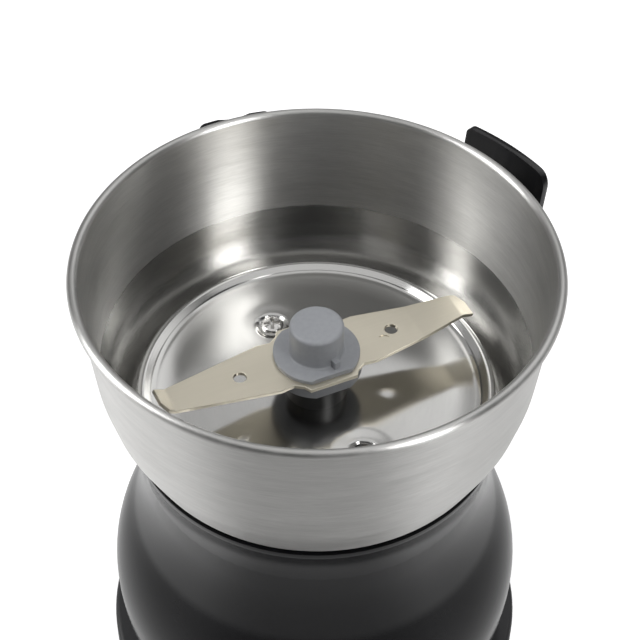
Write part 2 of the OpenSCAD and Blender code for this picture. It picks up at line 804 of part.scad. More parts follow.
module brush_spring_right() {
    color("silver") motor_frame() rotate(180) brush_spring();
}

// ---- Safety switch ----------------------------------------------------------------

// Middle of the leaning pin at height z
function pin_x(z) = lean_r(z) - pin_in;

// Frame with +Z along the pin, starting at height z0
module along_pin(z0, z1) {
    intersection() {
        translate([pin_x(z0), 0, z0]) rotate([0, tower_lean, 0]) children();
        translate([0, -50, z0 - 5]) cube([100, 100, z1 - z0 + 8]);
    }
}

module safety_pin() {
    rod_l = (pin_head_z - pin_tip_z - pin_r - 1) / cos(tower_lean);
    collar_at = (collar_z - pin_tip_z) / cos(tower_lean);
    color([0.85, 0.85, 0.82]) translate([pin_x(pin_tip_z), 0, pin_tip_z])
        rotate([0, tower_lean, 0]) {
            translate([0, 0, pin_r]) sphere(r = pin_r);
            translate([0, 0, pin_r]) cylinder(r = pin_r, h = rod_l);
            translate([0, 0, collar_at]) cylinder(r = 2.6, h = collar_t);
            translate([0, 0, (pin_head_z - pin_tip_z) / cos(tower_lean) - pin_head[2]])
                linear_extrude(pin_head[2]) round_rect([pin_head[0], pin_head[1]], 1.6);
        }
}

module pin_spring() {
    z0 = guide_z + guide_t;
    color("silver") translate([pin_x(z0 + 0.3), 0, z0 + 0.3]) rotate([0, tower_lean - 90, 0])
        ring_spring(0, collar_z - z0 - 0.45, 1.9, 0.2, 5);
}

module microswitch() {
    ear = [0.5, 2, 1.6];
    top = switch_z + switch_size[2];
    color([0.12, 0.12, 0.13]) difference() {
        union() {
            translate([switch_x, -switch_size[1] / 2, switch_z]) cube(switch_size);
            for (x = [switch_x + 0.1, switch_x + switch_size[0] - ear[0] - 0.1])
                translate([x, lever_pivot[1] - 1, top - 0.2]) cube(ear);
            translate([switch_x + 0.1, lever_pivot[1], lever_pivot[2]]) rotate([0, 90, 0])
                cylinder(r = pivot_pin_r, h = switch_size[0] - 0.2);
        }
        for (y = [-1, 1]) translate([switch_x - 1, y * switch_hole_y, switch_hole_z])
            rotate([0, 90, 0]) cylinder(r = 1.2, h = 10);
        translate([lever_pivot[0], plunger_y, plunger_z[0] - 1.6]) cylinder(r = 1.2, h = 10);
        // shut line between the switch's two halves
        translate([switch_x - 1, -20, switch_z + 6]) cube([1.2, 40, 0.3]);
    }
}

module switch_terminals() {
    color([0.8, 0.68, 0.35]) for (y = [-8, 0, 8]) difference() {
        translate([lever_pivot[0] - 0.25, y - 1.6, switch_z - 5.6]) cube([0.5, 3.2, 5.6]);
        translate([lever_pivot[0] - 2, y, switch_z - 4]) rotate([0, 90, 0])
            cylinder(r = 0.7, h = 4, $fn = 24);
    }
}

module switch_plunger() {
    color([0.75, 0.2, 0.15]) translate([lever_pivot[0], plunger_y, plunger_z[0]])
        cylinder(r = plunger_r, h = plunger_z[1] - plunger_z[0]);
}

module switch_lever() {
    color("silver") translate(lever_pivot) rotate([lever_rest, 0, 0]) difference() {
        union() {
            translate([-lever_w / 2, 0.5, -lever_t / 2]) cube([lever_w, lever_l, lever_t]);
            translate([-lever_w / 2, 0, 0]) rotate([0, 90, 0]) cylinder(r = eye_r, h = lever_w);
        }
        translate([-lever_w, 0, 0]) rotate([0, 90, 0])
            cylinder(r = pivot_pin_r + 0.05, h = 2 * lever_w);
    }
}

// ---- Rotor ------------------------------------------------------------------------

module motor_shaft() {
    color([0.8, 0.8, 0.82]) difference() {
        union() {
            translate([0, 0, fan_z - 1.4]) cylinder(r = shaft_r, h = blade_z + 0.3 - fan_z + 1.4);
            translate([0, 0, blade_z]) cylinder(r = stud_r, h = 5.2);
        }
        // groove for the fan's clip
        translate([0, 0, fan_z - 0.9]) tube(shaft_r + 1, shaft_r - 0.6, 0.7);
    }
}

module armature_core() {
    color([0.5, 0.5, 0.52]) translate([0, 0, stack_z + 1]) linear_extrude(stack_l - 2)
        difference() {
            circle(armature_r);
            circle(shaft_r);
            for (i = [0:slot_n - 1]) rotate(i * 360 / slot_n) {
                translate([armature_r - 4.6, 0]) circle(2.3);
                translate([armature_r - 4, -0.9]) square([6, 1.8]);
            }
        }
}

// Wound coils: a bar in every slot and a rounded overhang at each end
module armature_winding() {
    z0 = stack_z + 1;
    z1 = stack_top - 1;
    color([0.72, 0.38, 0.18]) {
        for (i = [0:slot_n - 1]) rotate(i * 360 / slot_n) translate([armature_r - 4.6, 0, z0])
            cylinder(r = 2.1, h = z1 - z0, $fn = 32);
        for (end = [[z0, -1], [z1, 1]]) revolve() polygon(concat(
            [[shaft_r, end[0]], [winding_r - 0.6, end[0]]],
            arc([winding_r - 2.4, end[0] + end[1] * 3], 2.4, -10 * end[1], 70 * end[1], 5),
            [[6.2, end[0] + end[1] * 6.4], [shaft_r, end[0] + end[1] * 6.4]]));
    }
}

module commutator() {
    h = commutator_z[1] - commutator_z[0];
    color([0.75, 0.45, 0.25]) translate([0, 0, commutator_z[0]]) difference() {
        union() {
            cylinder(r = commutator_r, h = h);
            translate([0, 0, h - 1.6]) cylinder(r = commutator_r + 1.1, h = 1.6);
        }
        translate([0, 0, -1]) cylinder(r = shaft_r, h = h + 2);
        for (i = [0:slot_n - 1]) rotate((i + 0.5) * 360 / slot_n)
            translate([commutator_r - 1.2, -0.2, -1]) cube([4, 0.4, h + 2]);
    }
}

module cooling_fan() {
    color([0.9, 0.9, 0.88]) translate([0, 0, fan_z]) difference() {
        union() {
            cylinder(r = fan_r, h = 1);
            cylinder(r = 5.4, h = 5);
            for (i = [0:fan_blades - 1]) rotate(i * 360 / fan_blades) intersection() {
                translate([14, -17, 0]) difference() {
                    cylinder(r = 18, h = 4.6);
                    translate([0, 0, -1]) cylinder(r = 16.9, h = 7);
                }
                translate([9, -1, 0]) cube([fan_r - 9.4, 12, 10]);
                cylinder(r = fan_r - 0.2, h = 10);
            }
        }
        translate([0, 0, -1]) cylinder(r = shaft_r, h = 8);
    }
}

module thrust_washers() {
    color([0.85, 0.82, 0.7]) {
        translate([0, 0, stack_top + 5.45]) tube(5, shaft_r, 2);
        translate([0, 0, 20]) tube(4.6, shaft_r, commutator_z[0] - 20.05);
    }
}

module fan_clip() {
    color("silver") translate([0, 0, fan_z - 0.85]) difference() {
        cylinder(r = shaft_r + 2, h = 0.6);
        translate([0, 0, -1]) cylinder(r = shaft_r - 0.55, h = 3);
        translate([0, -1.4, -1]) cube([10, 2.8, 3]);
    }
}

module flats(w) {
    square([60, w], center = true);
}

module blade_carrier() {
    top = blade_z - blade_t;
    color([0.55, 0.55, 0.57]) rotate(blade_az) difference() {
        translate([0, 0, carrier_z]) linear_extrude(top - carrier_z) intersection() {
            circle(9.7);
            flats(17.8);
        }
        cylinder(r = shaft_r, h = 100);
    }
}

// Side line of the blade from tip to tip: one wing stays flat and its tip turns up,
// the other is lifted past its fold line and its tip turns down
function blade_line() =
    let (fold = tip_fold_at(), lifted = fold_u + (fold - fold_u) * cos(lift))
    [[-fold - tip_l * cos(tip_up), tip_l * sin(tip_up)], [-fold, 0], [fold_u, 0],
        [lifted, (fold - fold_u) * sin(lift)],
        [lifted + tip_l * cos(tip_down), (fold - fold_u) * sin(lift) - tip_l * sin(tip_down)]];
function tip_fold_at() = blade_span / 2 - tip_l;

// Plan of one wing, from the square centre to the clipped tip
module wing_plan() {
    root = blade_root_w / 2;
    tip = blade_tip_w / 2;
    end = blade_span / 2;
    polygon([[0, -9.3], [5.3, -9.3], [6.2, -7.8], [8, -6.7], [11, -root],
        [tip_fold_at(), -tip], [end - 0.4, 0.5 - tip], [end - 0.5, tip - 2.1],
        [end - 2, tip - 0.1], [tip_fold_at(), tip], [11, root], [8, 6.7], [6.2, 7.8],
        [5.3, 9.3], [0, 9.3]]);
}

module blade() {
    color([0.76, 0.75, 0.7]) rotate(blade_az) difference() {
        intersection() {
            translate([0, 20, blade_z - blade_t / 2]) rotate([90, 0, 0]) linear_extrude(40)
                wall(blade_line(), blade_t);
            translate([0, 0, blade_z - 10]) linear_extrude(20) {
                wing_plan();
                rotate(180) wing_plan();
            }
        }
        cylinder(r = shaft_r, h = 200);
        for (s = [-1, 1]) translate([s * 17.5, 0, 0]) cylinder(r = 1.4, h = 200);
        // small curved mark stamped in one wing
        translate([14.8, -2.4, blade_z - 0.15]) rotate_extrude(angle = 100, start = 20)
            translate([1.1, 0]) square([0.35, 1]);
    }
}

module hub_cap() {
    color([0.62, 0.62, 0.64]) rotate(blade_az) difference() {
        union() {
            translate([0, 0, blade_z]) linear_extrude(flange_z - blade_z - 0.3) intersection() {
                circle(flange_r);
                flats(16);
            }
            intersection() {
                translate([0, 0, flange_z - 0.31])
                    cylinder(r1 = flange_r, r2 = flange_r - 0.6, h = 0.31);
                translate([-20, -8, 0]) cube([40, 16, 200]);
            }
            revolve() polygon(concat([[0, blade_z + 0.4], [hub_r + 0.1, blade_z + 0.4]],
                arc([hub_r + 0.5, flange_z + 0.5], 0.45, 270, 180, 4),
                arc([hub_r - 0.8, hub_z - 0.8], 0.8, 0, 90, 5), [[0, hub_z]]));
            rotate(-76) translate([hub_r - 0.5, -0.65, flange_z - 0.2]) cube([2, 1.3, 2.1]);
        }
        translate([0, 0, blade_z - 1]) cylinder(r = stud_r, h = 6.4);
        translate([0, 0, blade_z - 1]) cylinder(r = shaft_r, h = 1.3);
    }
}

bowl();
bowl_screws();
bowl_gasket();
shaft_seal();
housing();
switch_tower();
tower_screws();
lid_guide_arm();
guide_arm_screw();
bottom_cover();
cover_screws();
feet();
cord_gland();
cord_clamp();
clamp_screws();
upper_bracket();
motor_cushions();
upper_bush();
lower_bracket();
lower_bush();
motor_screws();
stator_stack();
field_coils();
brush_holders();
brush_left();
brush_right();
brush_spring_left();
brush_spring_right();
microswitch();
switch_terminals();
switch_plunger();
switch_lever();
safety_pin();
pin_spring();
motor_shaft();
armature_core();
armature_winding();
commutator();
cooling_fan();
thrust_washers();
fan_clip();
blade_carrier();
blade();
hub_cap();
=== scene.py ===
import json
import math

import bmesh
import bpy
from mathutils import Matrix, Vector


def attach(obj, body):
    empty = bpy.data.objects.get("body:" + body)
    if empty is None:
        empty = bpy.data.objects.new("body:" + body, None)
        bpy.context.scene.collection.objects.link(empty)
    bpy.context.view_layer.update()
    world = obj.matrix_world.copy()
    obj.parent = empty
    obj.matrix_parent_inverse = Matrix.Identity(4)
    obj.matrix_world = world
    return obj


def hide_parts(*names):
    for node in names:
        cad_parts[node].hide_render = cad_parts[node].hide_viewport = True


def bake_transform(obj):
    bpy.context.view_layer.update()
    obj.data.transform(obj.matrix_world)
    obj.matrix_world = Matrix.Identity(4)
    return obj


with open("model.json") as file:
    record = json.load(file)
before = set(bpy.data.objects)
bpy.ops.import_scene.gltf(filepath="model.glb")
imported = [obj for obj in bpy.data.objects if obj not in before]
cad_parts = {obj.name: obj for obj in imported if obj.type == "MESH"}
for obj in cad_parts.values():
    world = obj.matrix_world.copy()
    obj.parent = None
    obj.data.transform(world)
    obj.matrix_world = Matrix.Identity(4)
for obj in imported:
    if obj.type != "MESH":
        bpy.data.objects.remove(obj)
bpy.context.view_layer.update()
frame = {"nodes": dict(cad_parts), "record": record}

bl_info = {
    "name": "Spice grinder dressing",
    "version": (1, 0, 0),
    "blender": (4, 5, 0),
    "location": "3D View > Sidebar > Grinder",
    "description": "Dresses the solids of a spice grinder: bowl, blade, mouldings and motor",
    "category": "Object",
}

MM = 0.001
LOOK = (0.6769, 0.7361)  # level direction in which the camera looks


# ---- Node trees written as expressions ---------------------------------------------

class Wire:
    """A node's output, which joins in sums and products as a number does."""

    def __init__(self, tree, socket):
        self.tree = tree
        self.socket = socket

    def other(self, name):
        """Another output of the same node."""
        return Wire(self.tree, self.socket.node.outputs[name])

    def maths(self, operation, *values):
        return self.tree.node("ShaderNodeMath", {"operation": operation}, values)

    def __add__(self, value):
        return self.maths("ADD", self, value)

    __radd__ = __add__

    def __sub__(self, value):
        return self.maths("SUBTRACT", self, value)

    def __rsub__(self, value):
        return self.maths("SUBTRACT", value, self)

    def __mul__(self, value):
        return self.maths("MULTIPLY", self, value)

    def __truediv__(self, value):
        return self.maths("DIVIDE", self, value)

    def __pow__(self, value):
        return self.maths("POWER", self, value)

    def __mod__(self, value):
        return self.maths("FLOORED_MODULO", self, value)


class Tree:
    """A node tree, with one way to add a node and short words for the usual ones."""

    def __init__(self, nodes):
        self.tree = nodes

    def node(self, kind, settings=None, sockets=(), out=0):
        """Adds a node: its settings first, then its sockets by name or by place."""
        made = self.tree.nodes.new(kind)
        for key, value in (settings or {}).items():
            setattr(made, key, value)
        pairs = sockets.items() if isinstance(sockets, dict) else enumerate(sockets)
        for key, value in pairs:
            if isinstance(value, Wire):
                self.tree.links.new(value.socket, made.inputs[key])
            elif value is not None:
                made.inputs[key].default_value = value
        return Wire(self, made.outputs[out])

    def vector(self, x, y, z):
        return self.node("ShaderNodeCombineXYZ", None, (x, y, z))

    def split(self, vector):
        first = self.node("ShaderNodeSeparateXYZ", None, (vector,))
        return first, first.other("Y"), first.other("Z")

    def between(self, value, low, high, start=0.0, end=1.0):
        """Eases from start to end while value goes from low to high."""
        return self.node("ShaderNodeMapRange", {"interpolation_type": "SMOOTHSTEP"},
                         {"Value": value, "From Min": low, "From Max": high,
                          "To Min": start, "To Max": end})

    def sine(self, value):
        return value.maths("SINE", value)

    def cosine(self, value):
        return value.maths("COSINE", value)


class Paint(Tree):
    """One material's tree; it reads the piece's own coordinates."""

    def __init__(self, name):
        self.material = bpy.data.materials.new(name)
        self.material.use_nodes = True
        super().__init__(self.material.node_tree)
        self.tree.nodes.clear()
        self.place = self.node("ShaderNodeTexCoord", out="Object")
        self.x, self.y, self.z = self.split(self.place)

    def radius(self):
        return (self.x * self.x + self.y * self.y) ** 0.5

    def noise(self, vector, scale=1.0, detail=2.0, roughness=0.5):
        return self.node("ShaderNodeTexNoise", {"noise_dimensions": "3D"},
                         {"Vector": vector, "Scale": scale, "Detail": detail,
                          "Roughness": roughness})

    def stretched(self, scales):
        """The piece's coordinates, stretched by one factor along each axis."""
        return self.node("ShaderNodeVectorMath", {"operation": "MULTIPLY"},
                         (self.place, scales))

    def blend(self, factor, low, high):
        """Goes from the colour low to the colour high as factor goes from 0 to 1."""
        def shade(c):
            return c if isinstance(c, Wire) else (*c, 1.0)
        return self.node("ShaderNodeMix", {"data_type": "RGBA"},
                         {0: factor, 6: shade(low), 7: shade(high)}, out=2)

    def bump(self, height, depth, strength=1.0):
        return self.node("ShaderNodeBump", None,
                         {"Height": height, "Distance": depth, "Strength": strength})

    def surface(self, colour, roughness, normal=None, **constants):
        """Ends the tree in a Principled shader."""
        sockets = {"Base Color": colour if isinstance(colour, Wire) else (*colour, 1.0),
                   "Roughness": roughness, "Normal": normal}
        sockets.update({key.replace("_", " "): value for key, value in constants.items()})
        shader = self.node("ShaderNodeBsdfPrincipled", None, sockets)
        return self.finish(shader)

    def finish(self, shader):
        end = self.tree.nodes.new("ShaderNodeOutputMaterial")
        self.tree.links.new(shader.socket, end.inputs["Surface"])
        return self.material


class Recipe(Tree):
    """A Geometry Nodes tree with named inputs, run once on a host and then taken off."""

    def __init__(self, name, inputs):
        super().__init__(bpy.data.node_groups.new(name, "GeometryNodeTree"))
        sockets = self.tree.interface
        sockets.new_socket("Geometry", in_out="OUTPUT", socket_type="NodeSocketGeometry")
        self.keys = {}
        for label, kind in {"Geometry": "Geometry", **inputs}.items():
            made = sockets.new_socket(label, in_out="INPUT", socket_type="NodeSocket" + kind)
            self.keys[label] = made.identifier
        self.start = self.tree.nodes.new("NodeGroupInput")

    def given(self, label):
        return Wire(self, self.start.outputs[label])

    def finish(self, geometry):
        """Ends in real geometry with the material that was asked for."""
        real = self.node("GeometryNodeRealizeInstances", None, (geometry,))
        dressed = self.node("GeometryNodeSetMaterial", None,
                            {"Geometry": real, "Material": self.given("Material")})
        end = self.tree.nodes.new("NodeGroupOutput")
        self.tree.links.new(dressed.socket, end.inputs["Geometry"])

    def run(self, host, name, values):
        """Runs the tree on the host, which is used up, and returns the new piece."""
        step = host.modifiers.new("recipe", "NODES")
        step.node_group = self.tree
        for label, value in values.items():
            step[self.keys[label]] = value
        return settled(host, name)


# ---- Pieces ------------------------------------------------------------------------

def link(name, data):
    made = bpy.data.objects.new(name, data)
    bpy.context.scene.collection.objects.link(made)
    return made


def settled(host, name):
    """Replaces an object and its modifiers by one plain mesh piece."""
    bpy.context.view_layer.update()
    depsgraph = bpy.context.evaluated_depsgraph_get()
    mesh = bpy.data.meshes.new_from_object(host.evaluated_get(depsgraph), depsgraph=depsgraph)
    mesh.name = name
    bpy.data.objects.remove(host)
    return link(name, mesh)


def from_bmesh(name, work):
    bmesh.ops.remove_doubles(work, verts=work.verts, dist=1e-7)
    bmesh.ops.recalc_face_normals(work, faces=work.faces)
    mesh = bpy.data.meshes.new(name)
    work.to_mesh(mesh)
    work.free()
    return link(name, mesh)


def skinned(name, work, rings):
    """Joins a row of closed rings of points by faces and caps both ends."""
    for one, two in zip(rings, rings[1:]):
        for i in range(len(one)):
            k = (i + 1) % len(one)
            work.faces.new((one[i], one[k], two[k], two[i]))
    work.faces.new(rings[0][::-1])
    work.faces.new(rings[-1])
    return from_bmesh(name, work)


def copied(node, name, flat=0.0):
    """A copy of a solid as one welded skin, with faces joined that meet within flat degrees."""
    work = bmesh.new()
    work.from_mesh(frame["nodes"][node].data)
    bmesh.ops.remove_doubles(work, verts=work.verts, dist=2e-6)
    if flat:
        bmesh.ops.dissolve_limit(work, angle_limit=math.radians(flat), verts=work.verts,
                                 edges=work.edges)
    mesh = bpy.data.meshes.new(name)
    work.to_mesh(mesh)
    work.free()
    if "custom_normal" in mesh.attributes:
        mesh.attributes.remove(mesh.attributes["custom_normal"])
    mesh.materials.clear()
    return link(name, mesh)


def smooth(piece, angle=35):
    piece.data.shade_smooth()
    piece.data.set_sharp_from_angle(angle=math.radians(angle))
    return piece


def coat(piece, material, slot, body, *nodes):
    """Gives a piece its finish and its body, and hides the solids that it stands for."""
    if not piece.data.materials:
        piece.data.materials.append(material)
    else:
        piece.data.materials[0] = material
    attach(piece, body)
    if nodes:
        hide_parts(*nodes)
    return piece


def body_of(node):
    for body, members in frame["record"]["behaviour"]["bodies"].items():
        if node in members:
            return body
    raise RuntimeError("no body holds " + node)


def dress(material, *nodes):
    """Gives the frame's own solids a finish."""
    for name in nodes:
        piece = frame["nodes"][name]
        piece.data.materials.clear()
        piece.data.materials.append(material)


def softened(node, name, width, material, slot, sharp=28):
    """A copy of a solid with its edges rounded, which then stands for it."""
    host = copied(node, name + "_host", flat=0.5)
    edge = host.modifiers.new("round", "BEVEL")
    edge.width = width
    edge.segments = 3
    edge.limit_method = "ANGLE"
    edge.angle_limit = math.radians(sharp)
    edge.harden_normals = False
    edge.miter_outer = "MITER_ARC"
    piece = smooth(settled(host, name), sharp)
    return coat(piece, material, slot, body_of(node), node)


# ---- Sizes and colours a user may change -------------------------------------------

class BowlSettings(bpy.types.PropertyGroup):
    """The drawn bowl and its screws."""
    steps: bpy.props.IntProperty(
        name="Steps round", description="Faces round the bowl", default=296, min=48, max=320)
    dimple: bpy.props.FloatProperty(
        name="Dimple depth", description="How deep the screw dimples are pressed",
        default=0.9 * MM, unit="LENGTH", subtype="DISTANCE")
    dimple_radius: bpy.props.FloatProperty(
        name="Dimple radius", description="Radius of the step in each screw dimple",
        default=3.9 * MM, unit="LENGTH", subtype="DISTANCE")
    brushed_roughness: bpy.props.FloatProperty(
        name="Wall roughness", description="Roughness of the brushed wall",
        default=0.36, min=0.0, max=1.0, subtype="FACTOR")
    polished_roughness: bpy.props.FloatProperty(
        name="Floor roughness", description="Roughness of the polished floor",
        default=0.14, min=0.0, max=1.0, subtype="FACTOR")
    steel: bpy.props.FloatVectorProperty(
        name="Steel", description="Colour of the bowl's steel",
        default=(0.66, 0.655, 0.64), size=3, min=0.0, max=1.0, subtype="COLOR")


class BladeSettings(bpy.types.PropertyGroup):
    """The blade and its hub."""
    ground_edge: bpy.props.FloatProperty(
        name="Ground edge", description="Width of the bevel ground along the blade's edge",
        default=0.22 * MM, unit="LENGTH", subtype="DISTANCE")
    steel: bpy.props.FloatVectorProperty(
        name="Steel", description="Colour of the blade's steel",
        default=(0.74, 0.69, 0.575), size=3, min=0.0, max=1.0, subtype="COLOR")
    hub_grey: bpy.props.FloatVectorProperty(
        name="Hub", description="Colour of the hub's moulding",
        default=(0.30, 0.31, 0.33), size=3, min=0.0, max=1.0, subtype="COLOR")


class BodySettings(bpy.types.PropertyGroup):
    """The black mouldings."""
    gloss_black: bpy.props.FloatVectorProperty(
        name="Housing black", description="Colour of the glossy mouldings",
        default=(0.007, 0.007, 0.008), size=3, min=0.0, max=1.0, subtype="COLOR")
    base_black: bpy.props.FloatVectorProperty(
        name="Base black", description="Colour of the satin base",
        default=(0.022, 0.022, 0.024), size=3, min=0.0, max=1.0, subtype="COLOR")
    edge: bpy.props.FloatProperty(
        name="Edge rounding", description="Rounding of the mouldings' edges",
        default=0.35 * MM, unit="LENGTH", subtype="DISTANCE")


class StageSettings(bpy.types.PropertyGroup):
    """Floor, light and camera."""
    lens: bpy.props.FloatProperty(
        name="Lens", description="Focal length of the camera on a 36 mm sensor",
        default=93.04, min=20.0, max=200.0)
    key: bpy.props.FloatProperty(
        name="Left light", description="Power of the soft light on the left", default=3.2,
        unit="POWER")
    fill: bpy.props.FloatProperty(
        name="Right light", description="Power of the soft light on the right", default=2.5,
        unit="POWER")
    top: bpy.props.FloatProperty(
        name="Top light", description="Power of the soft light overhead", default=1.4,
        unit="POWER")
    floor: bpy.props.FloatProperty(
        name="Floor", description="Lightness of the floor", default=0.60, min=0.0, max=1.0,
        subtype="FACTOR")
    sides: bpy.props.FloatProperty(
        name="Floor at the sides", description="Extra light that gloss picks up beside the object",
        default=0.45, min=0.0, max=2.0)
    backdrop: bpy.props.FloatProperty(
        name="Backdrop", description="Brightness of the wall behind, as gloss sees it",
        default=0.85, min=0.0, max=2.0)


class GrinderSettings(bpy.types.PropertyGroup):
    """All settings of the grinder."""
    bowl: bpy.props.PointerProperty(type=BowlSettings)
    blade: bpy.props.PointerProperty(type=BladeSettings)
    body: bpy.props.PointerProperty(type=BodySettings)
    stage: bpy.props.PointerProperty(type=StageSettings)


# ---- Finishes ----------------------------------------------------------------------

def bowl_steel(settings):
    """Brushed round the wall, satin low down, polished on the floor inside the bead."""
    paint = Paint("bowl_steel")
    r = paint.radius()
    round_x, round_y = paint.x / r, paint.y / r
    climb = paint.z + r
    coarse = paint.noise(paint.vector(round_x * 3.0, round_y * 3.0, climb * 420.0), detail=3.0)
    fine = paint.noise(paint.vector(round_x * 9.0, round_y * 9.0, climb * 2600.0), detail=3.0,
                       roughness=0.7)
    broad = paint.noise(paint.place, scale=38.0, detail=1.0)
    steel = tuple(settings.steel)
    dark = tuple(c * 0.80 for c in steel)
    facing = paint.split(paint.node("ShaderNodeNewGeometry", out="Normal"))
    inside = paint.between((facing[0] * round_x + facing[1] * round_y) * -1.0, -0.2, 0.4)
    level = paint.between(facing[2], 0.2, 0.8)
    bead_edge, bead_top, brushed_foot = (0.0396, 0.0385), (0.0880, 0.0872), (0.0975, 0.0962)
    floor = paint.between(r, *bead_edge) * paint.between(paint.z, *bead_top)
    low = inside * paint.between(paint.z, *brushed_foot) * (1.0 - floor)
    streak = (coarse - 0.5) * 0.55 + (fine - 0.5) * 0.8
    rough = ((settings.brushed_roughness + streak * 0.16) * (1.0 - low)
             + low * (0.19 + streak * 0.05))
    rough = rough * (1.0 - floor) + floor * (settings.polished_roughness + (fine - 0.5) * 0.05
                                             + (broad - 0.5) * 0.06)
    tone = paint.between(streak * (1.0 - floor * 0.75) + (broad - 0.5) * 0.2, -0.35, 0.35)
    depth = (fine * 0.5 + coarse * 0.5) * (1.0 - floor * 0.9) * (1.0 - low * 0.6)
    return paint.surface(paint.blend(tone, dark, steel), rough,
                         paint.bump(depth, 0.00004, 0.5),
                         Metallic=1.0, Anisotropic=0.8, Anisotropic_Rotation=0.25)


def blade_steel(settings, turn):
    """Ground lengthways, a little warm."""
    paint = Paint("blade_steel")
    along = paint.x * math.cos(turn) + paint.y * math.sin(turn)
    across = paint.y * math.cos(turn) - paint.x * math.sin(turn)
    grain = paint.noise(paint.vector(along * 60.0, across * 1800.0, paint.z * 300.0), detail=3.0)
    cloud = paint.noise(paint.place, scale=90.0, detail=2.0)
    steel = tuple(settings.steel)
    tone = paint.between(grain * 0.4 + cloud * 0.7, 0.35, 0.75)
    return paint.surface(paint.blend(tone, tuple(c * 0.95 for c in steel), steel),
                         0.38 + (grain - 0.5) * 0.06, paint.bump(grain, 0.00001, 0.2),
                         Metallic=1.0)


def moulding_grain(paint, colour, scale, spread):
    """A moulding's fine grain, its shaded colour and the change in its roughness."""
    fine = paint.noise(paint.place, scale=scale, detail=2.0)
    cloud = paint.noise(paint.place, scale=45.0, detail=2.0)
    tone = paint.between(cloud * 0.6 + fine * 0.4, 0.35, 0.65)
    shade = paint.blend(tone, tuple(c * (1 - spread) for c in colour),
                        tuple(min(1.0, c * (1 + spread)) for c in colour))
    return fine, shade, (cloud - 0.5) * 0.08 + (fine - 0.5) * 0.05


def moulded(name, colour, roughness, grain=0.00001, scale=900.0, spread=0.10):
    """A moulding with a fine grain and a slight cloud in its gloss."""
    paint = Paint(name)
    fine, shade, change = moulding_grain(paint, colour, scale, spread)
    return paint.surface(shade, roughness + change, paint.bump(fine, grain, 0.4))


def two_tone(name, colour, height, above, below):
    """A moulding that is glossy above a height and duller below, each (roughness, gloss)."""
    paint = Paint(name)
    fine, shade, change = moulding_grain(paint, colour, 500.0, 0.15)
    ground = paint.bump(fine, 0.000004, 0.4)
    coats = [paint.node("ShaderNodeBsdfPrincipled", None, {
        "Base Color": shade, "Roughness": rough + change, "Normal": ground,
        "Specular IOR Level": gloss}) for rough, gloss in (below, above)]
    half_width = 1.5 * MM
    share = paint.between(paint.z, height - half_width, height + half_width)
    return paint.finish(paint.node("ShaderNodeMixShader", None, (share, *coats)))


def metal(name, colour, roughness, scales=(300.0, 300.0, 300.0), spread=0.12, depth=0.00001):
    """A metal whose grain runs the way its scales say."""
    paint = Paint(name)
    grain = paint.noise(paint.stretched(scales), detail=3.0)
    tone = paint.between(grain, 0.3, 0.7)
    return paint.surface(
        paint.blend(tone, tuple(c * (1 - spread) for c in colour), colour),
        roughness + (grain - 0.5) * 0.15, paint.bump(grain, depth, 0.3), Metallic=1.0)


def laminated(name, colour, thickness=0.0005):
    """Stacked sheets, seen as fine level lines."""
    paint = Paint(name)
    sheet = paint.sine(paint.z * (2 * math.pi / thickness))
    line = paint.between(sheet, -0.9, -0.3)
    return paint.surface(paint.blend(line, tuple(c * 0.45 for c in colour), colour), 0.45,
                         paint.bump(line, 0.00004, 0.6), Metallic=0.85)


def wound(name, colour, pitch=0.0005):
    """Enamelled wire laid side by side, with painted shade in the grooves between the turns."""
    paint = Paint(name)
    turns = paint.sine(paint.z * (2 * math.pi / pitch)) * 0.5 + 0.5
    cloud = paint.noise(paint.place, scale=260.0, detail=2.0)
    # Painted shade: the colour is darker in the grooves between the turns and lighter on their
    # crowns, mixed with a random cloud.
    tone = paint.between(turns * 0.7 + cloud * 0.5, 0.3, 0.9)
    return paint.surface(paint.blend(tone, tuple(c * 0.4 for c in colour), colour),
                         0.28 + cloud * 0.15, paint.bump(turns, 0.00012, 0.7), Metallic=0.6)


# ---- Bowl --------------------------------------------------------------------------

SHEET = 0.7  # thickness of the drawn sheet, in millimetres


def arc(centre, radius, start, end, count):
    """Points along an arc, its angles in degrees, both ends included."""
    return [(centre[0] + radius * math.cos(math.radians(start + (end - start) * i / count)),
             centre[1] + radius * math.sin(math.radians(start + (end - start) * i / count)))
            for i in range(count + 1)]


def run(start, end, count):
    """Points along a straight line, both ends included."""
    return [(start[0] + (end[0] - start[0]) * i / count,
             start[1] + (end[1] - start[1]) * i / count) for i in range(count + 1)]


def sheet_middle():
    """Middle of the drawn sheet from its centre hole to the curled rim, in millimetres."""
    top, rim_radius, half = 122.0, 50.0, SHEET / 2
    floor = 85.0 - half
    groove, groove_radius = (39.35, top - 42 + half + 1), 1.0
    bead, bead_radius = (groove[0] - 1.9, floor + 0.4), 0.9
    curl, curl_radius = (rim_radius - 1.1, top - 1.1), 0.75
    dimpled = [(13.3 + 0.3 * i, floor) for i in range(50)]
    path = [(5.8 + 1.2 * i, floor) for i in range(7)] + dimpled + [(28.6, floor), (29.4, floor)]
    path += arc((29.9, floor + 24), 24, -90, -79, 7)
    path += arc((bead[0] - 2.2, floor + 1.35), 0.9, -76, -38, 4)
    path += arc(bead, bead_radius, 128, 0, 14)
    path += arc(groove, groove_radius, 180, 330, 14)
    path += run((40.9, 82.3), (43.75, 88.7), 5)
    path += run((44.2, 89.9), (45.75, 96.4), 5)
    path += run((45.95, 97.5), (46.17, 99.4), 5)
    path += run(path[-1], (curl[0] - curl_radius - 0.05, curl[1] - 1), 10)[1:]
    path += arc(curl, curl_radius, 180, -70, 26)
    return path


